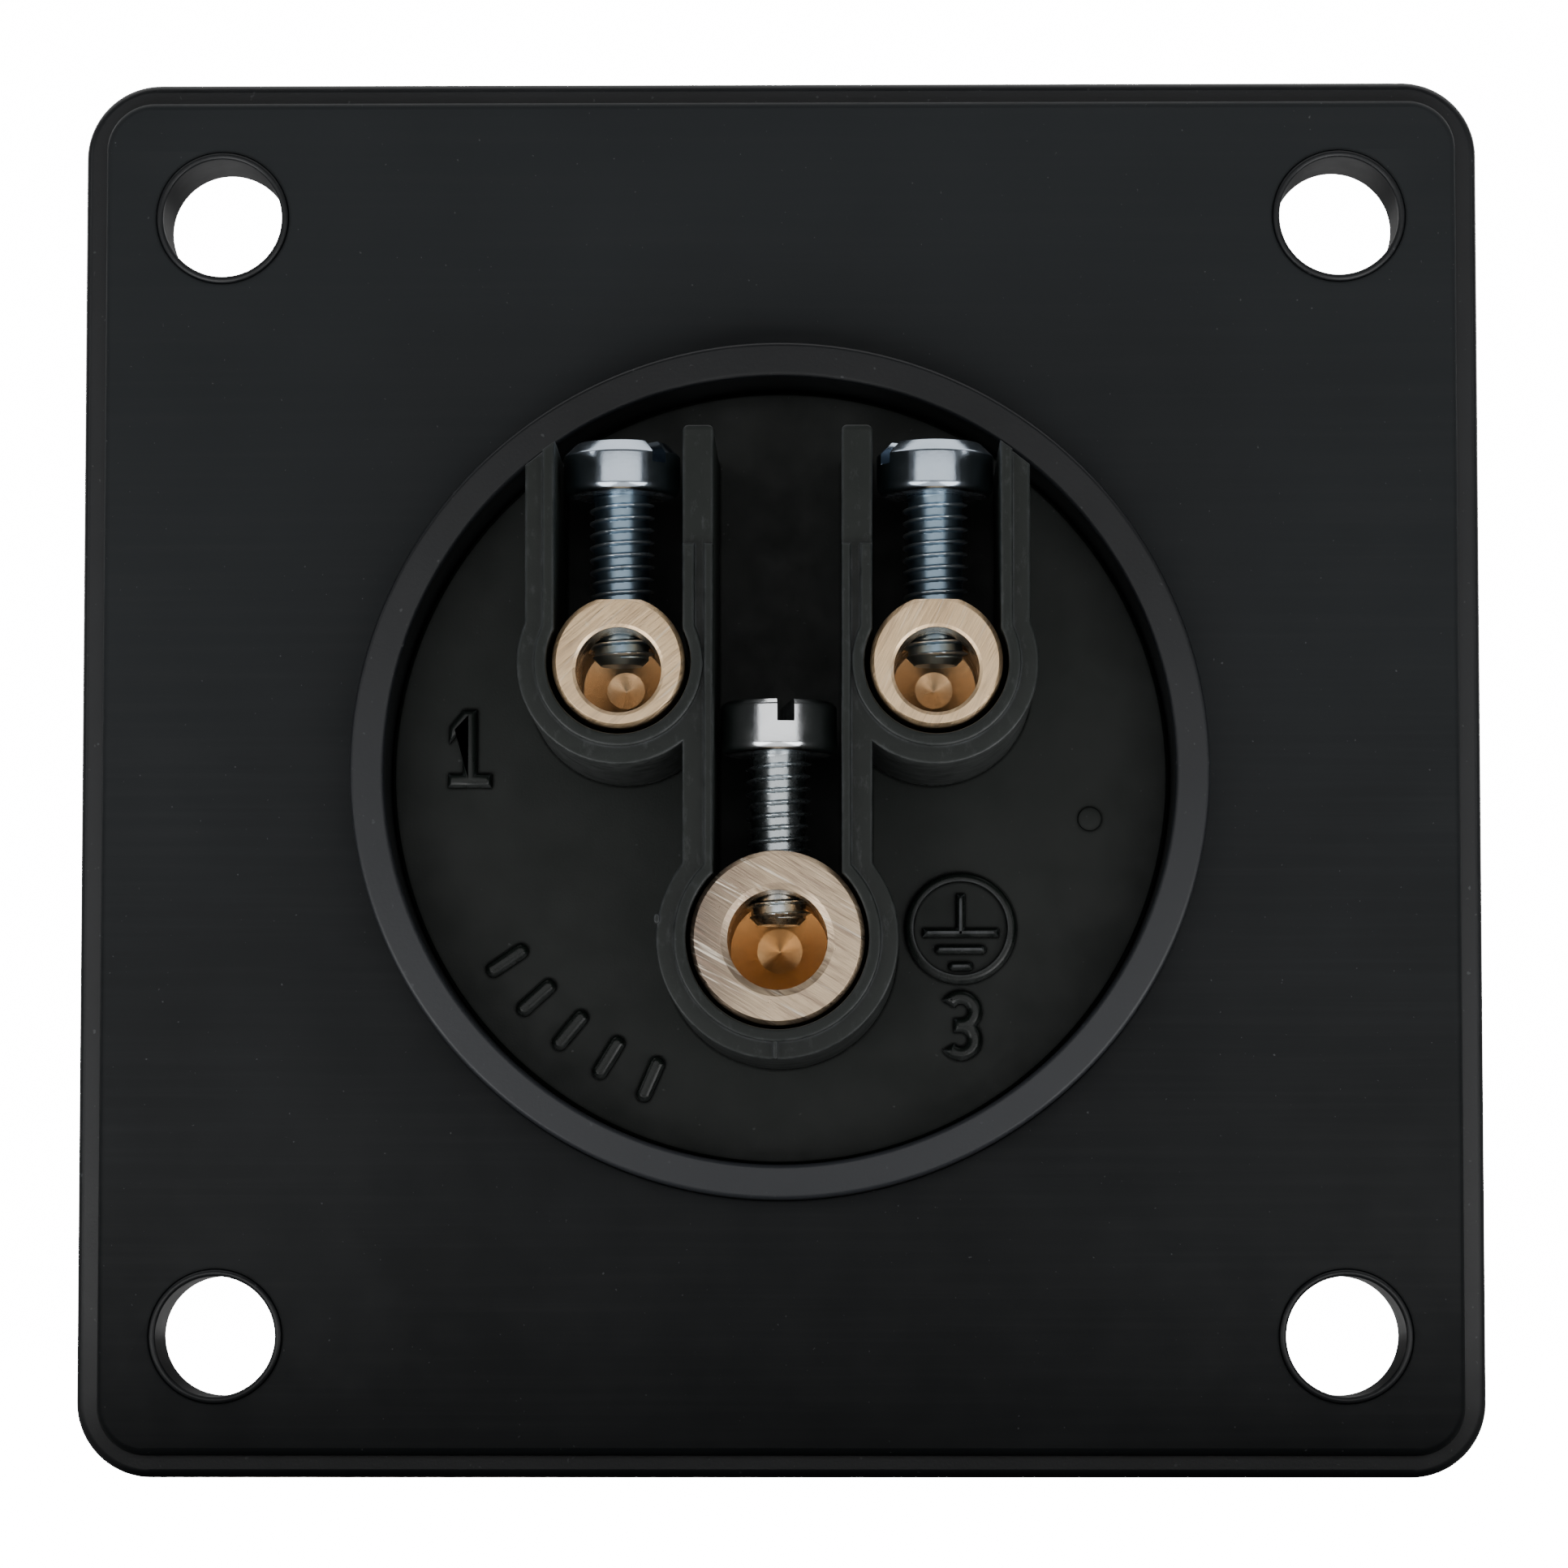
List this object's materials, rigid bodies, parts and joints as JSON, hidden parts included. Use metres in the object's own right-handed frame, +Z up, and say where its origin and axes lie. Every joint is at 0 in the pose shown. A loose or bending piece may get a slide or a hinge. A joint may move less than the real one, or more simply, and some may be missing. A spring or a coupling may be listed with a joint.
{
  "type": "panel-mount power inlet",
  "caption": "Square-flanged round panel power inlet with a shroud and contact pins in front and screw terminals behind.",
  "frame": {"origin": "centre of the four flange holes, on the flange's rear face, under the gasket", "axes": "+Y towards the mating side (shroud and pins), -Y towards the wiring side, +Z up with the earth contact lowest, +X right as seen from the wiring side"},
  "size_m": [0.075, 0.0541, 0.075],
  "materials": {
    "housing_plastic": "satin black moulded polyamide",
    "gasket_rubber": "smooth black rubber with a slight sheen and dust",
    "carrier_plastic": "satin black moulded polyamide with fine spark texture",
    "seal_rubber": "matt black rubber",
    "plate_plastic": "satin black moulded polyamide",
    "contact_brass": "turned and sawn brass, unplated",
    "screw_zinc": "bright zinc plating with a faint blue tint",
    "spring_steel": "phosphated spring steel"
  },
  "bodies": {
    "inlet": {"flange_housing": "housing_plastic", "flange_gasket": "gasket_rubber", "contact_carrier": "carrier_plastic", "carrier_seal": "seal_rubber", "front_plate": "plate_plastic", "line_contact_pin": "contact_brass", "line_retaining_ring": "spring_steel", "neutral_contact_pin": "contact_brass", "neutral_retaining_ring": "spring_steel", "earth_contact_pin": "contact_brass", "earth_retaining_ring": "spring_steel"},
    "line_screw": {"line_terminal_screw": "screw_zinc"},
    "neutral_screw": {"neutral_terminal_screw": "screw_zinc"},
    "earth_screw": {"earth_terminal_screw": "screw_zinc"}
  },
  "joints": [
    {"name": "line_screw_travel", "type": "slide", "parent": "inlet", "child": "line_screw", "axis": [0, 0, -1], "range_m": [-0.0015, 0.00235]},
    {"name": "neutral_screw_travel", "type": "slide", "parent": "inlet", "child": "neutral_screw", "axis": [0, 0, -1], "range_m": [-0.0015, 0.00235]},
    {"name": "earth_screw_travel", "type": "slide", "parent": "inlet", "child": "earth_screw", "axis": [0, 0, -1], "range_m": [-0.0015, 0.0031]}
  ]
}
